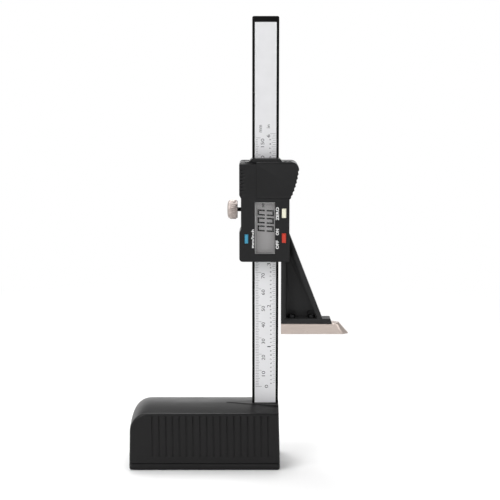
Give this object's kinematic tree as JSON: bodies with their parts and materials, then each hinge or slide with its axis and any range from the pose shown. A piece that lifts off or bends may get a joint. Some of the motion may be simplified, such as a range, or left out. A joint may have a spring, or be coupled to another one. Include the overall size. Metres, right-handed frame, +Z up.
{
  "type": "digital height gauge",
  "caption": "Upright digital height gauge: display slider with a bladed arm rides a scaled column on a ribbed base, with a lock screw, keys and a sliding battery cover.",
  "frame": {"origin": "centre of the base's underside, on the surface it stands on", "axes": "+X to the right, towards the column and blade; +Y away from the viewer; +Z up along the column"},
  "size_m": [0.1309, 0.038, 0.2673],
  "materials": {
    "base_plastic": "satin moulded black plastic, fine grain",
    "beam_composite": "satin black composite",
    "slider_plastic": "matt moulded black plastic",
    "label_print": "satin pale printed film",
    "circuit_green": "solder mask",
    "window_clear": "clear polished pane",
    "lcd_grey": "grey display glass",
    "rubber_dark": "matt",
    "key_blue": "satin",
    "key_pale": "satin",
    "key_red": "satin",
    "steel_plated": "satin nickel plate",
    "steel_blade": "fine ground steel",
    "steel_dark": "blackened steel",
    "spring_metal": "plated spring strip",
    "brass_plain": "turned brass",
    "cast_weight": "raw casting",
    "magnet_plated": "nickel plate"
  },
  "bodies": {
    "base": {"base_housing": "base_plastic", "base_plate": "base_plastic", "base_plate_screws": "steel_dark", "ballast_weight": "cast_weight", "base_magnet_left": "magnet_plated", "base_magnet_right": "magnet_plated", "column_keeper": "steel_plated", "keeper_screws": "steel_dark", "column_beam": "beam_composite", "grid_strip": "circuit_green", "scale_label": "label_print", "beam_end_stop": "slider_plastic", "end_stop_screws": "steel_dark"},
    "slider": {"slider_frame": "slider_plastic", "front_cover": "slider_plastic", "display_window": "window_clear", "lcd_panel": "lcd_grey", "display_connector": "rubber_dark", "circuit_board": "circuit_green", "key_domes": "spring_metal", "battery_cell": "steel_plated", "battery_contact_negative": "spring_metal", "battery_contact_positive": "spring_metal", "cover_screws": "steel_dark", "lock_insert": "brass_plain", "scriber_blade": "steel_blade", "blade_screws": "steel_dark"},
    "battery_cover": {"battery_cover": "slider_plastic"},
    "button_mode": {"button_mode": "key_blue"},
    "button_zero": {"button_zero": "key_pale"},
    "button_power": {"button_power": "key_red"},
    "lock_shoe": {"lock_shoe": "brass_plain"},
    "lock_screw": {"lock_screw": "steel_plated"}
  },
  "joints": [
    {"name": "slider_travel", "type": "slide", "parent": "base", "child": "slider", "axis": [0, 0, 1], "range_m": [-0.08, 0.07]},
    {"name": "lock_shoe_slide", "type": "slide", "parent": "slider", "child": "lock_shoe", "axis": [1, 0, 0], "range_m": [-0.000449, 0.000224]},
    {"name": "lock_screw_turn", "type": "hinge", "parent": "lock_shoe", "child": "lock_screw", "pos_m": [0.0197, 0, 0.1547], "axis": [1, 0, 0], "range_deg": [-360, 180]},
    {"name": "button_mode_press", "type": "slide", "parent": "slider", "child": "button_mode", "axis": [0, 1, 0], "range_m": [0, 0.0005], "stiffness_N_per_m": 600, "springref_m": -0.0008},
    {"name": "button_zero_press", "type": "slide", "parent": "slider", "child": "button_zero", "axis": [0, 1, 0], "range_m": [0, 0.0005], "stiffness_N_per_m": 600, "springref_m": -0.0008},
    {"name": "button_power_press", "type": "slide", "parent": "slider", "child": "button_power", "axis": [0, 1, 0], "range_m": [0, 0.0005], "stiffness_N_per_m": 600, "springref_m": -0.0008},
    {"name": "battery_cover_slide", "type": "slide", "parent": "slider", "child": "battery_cover", "axis": [0, 0, 1], "range_m": [0, 0.022]}
  ],
  "couplings": [
    {"joint": "lock_screw_turn", "follows": "lock_shoe_slide", "rad_per_m": 13963}
  ]
}
